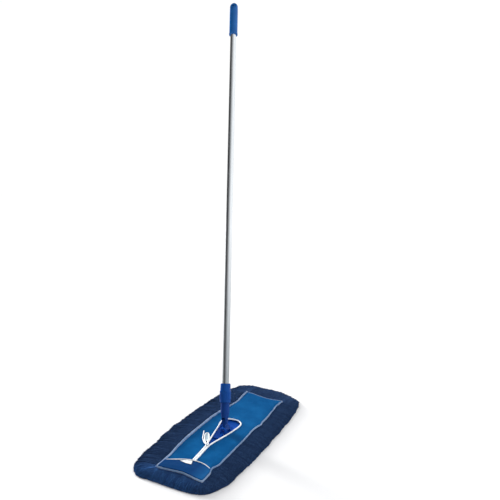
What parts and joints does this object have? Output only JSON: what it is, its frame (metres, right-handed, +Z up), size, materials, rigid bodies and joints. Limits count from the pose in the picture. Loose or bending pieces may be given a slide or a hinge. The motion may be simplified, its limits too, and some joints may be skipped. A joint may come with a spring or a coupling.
{
  "type": "flat dust mop",
  "caption": "Flat dust mop: tie-on yarn cover on a rigid plate, universal joint with locking collar and a long aluminium tube handle with a grip and hanging eye.",
  "frame": {"origin": "on the floor, straight under the middle of the universal joint, at the underside of the yarn pile", "axes": "+X along the head to its far end, away from the pocket, +Y across the head to the side the handle leans to, +Z up"},
  "size_m": [0.8176, 0.4688, 1.4934],
  "materials": {
    "frame_blue": "satin moulded polypropylene",
    "socket_blue": "satin moulded polyamide",
    "collar_blue": "semi-gloss moulded polyamide",
    "grip_blue": "semi-gloss moulded grip",
    "tube_aluminium": "brushed, anodised",
    "pin_steel": "ground",
    "washer_nylon": "natural nylon",
    "yarn_navy": "twisted cotton-blend yarn",
    "cloth_blue": "plain-woven polyester",
    "pocket_blue": "satin-faced polyester",
    "binding_pale": "woven tape, stitched",
    "tape_white": "bleached cotton tape and cord",
    "backing_cloth": "canvas"
  },
  "bodies": {
    "head": {"frame_plate": "frame_blue", "joint_base": "frame_blue", "base_rivets": "pin_steel", "hinge_pin": "pin_steel", "pin_clip": "pin_steel", "yarn_pile": "yarn_navy", "backing_cloth": "backing_cloth", "edge_binding": "binding_pale", "fringe_near": "yarn_navy", "fringe_far": "yarn_navy", "fringe_left": "yarn_navy", "fringe_right": "yarn_navy", "top_cloth": "cloth_blue", "slit_piping": "tape_white", "end_pocket": "pocket_blue", "pocket_binding": "tape_white", "tie_tab": "tape_white", "tie_knot": "tape_white", "tie_tail": "tape_white", "tie_loop": "tape_white"},
    "knuckle": {"knuckle": "socket_blue", "hinge_washers": "washer_nylon"},
    "handle": {"yoke_pin": "pin_steel", "yoke_washers": "washer_nylon", "socket": "socket_blue", "collet": "washer_nylon", "handle_tube": "tube_aluminium", "grip": "grip_blue", "hang_cap": "grip_blue"},
    "lock_collar": {"lock_collar": "collar_blue"}
  },
  "joints": [
    {"name": "tilt_side", "type": "hinge", "parent": "head", "child": "knuckle", "pos_m": [0, 0, 0.035], "axis": [1, 0, 0], "range_deg": [-57.7, 82.3]},
    {"name": "tilt_end", "type": "hinge", "parent": "knuckle", "child": "handle", "pos_m": [0, 0.00533, 0.05943], "axis": [0, 0.977, -0.213], "range_deg": [-78.34, 41.66]},
    {"name": "collar_turn", "type": "hinge", "parent": "handle", "child": "lock_collar", "pos_m": [0, 0.00533, 0.05943], "axis": [0.3147, 0.2022, 0.9274], "range_deg": [0, 240]}
  ]
}
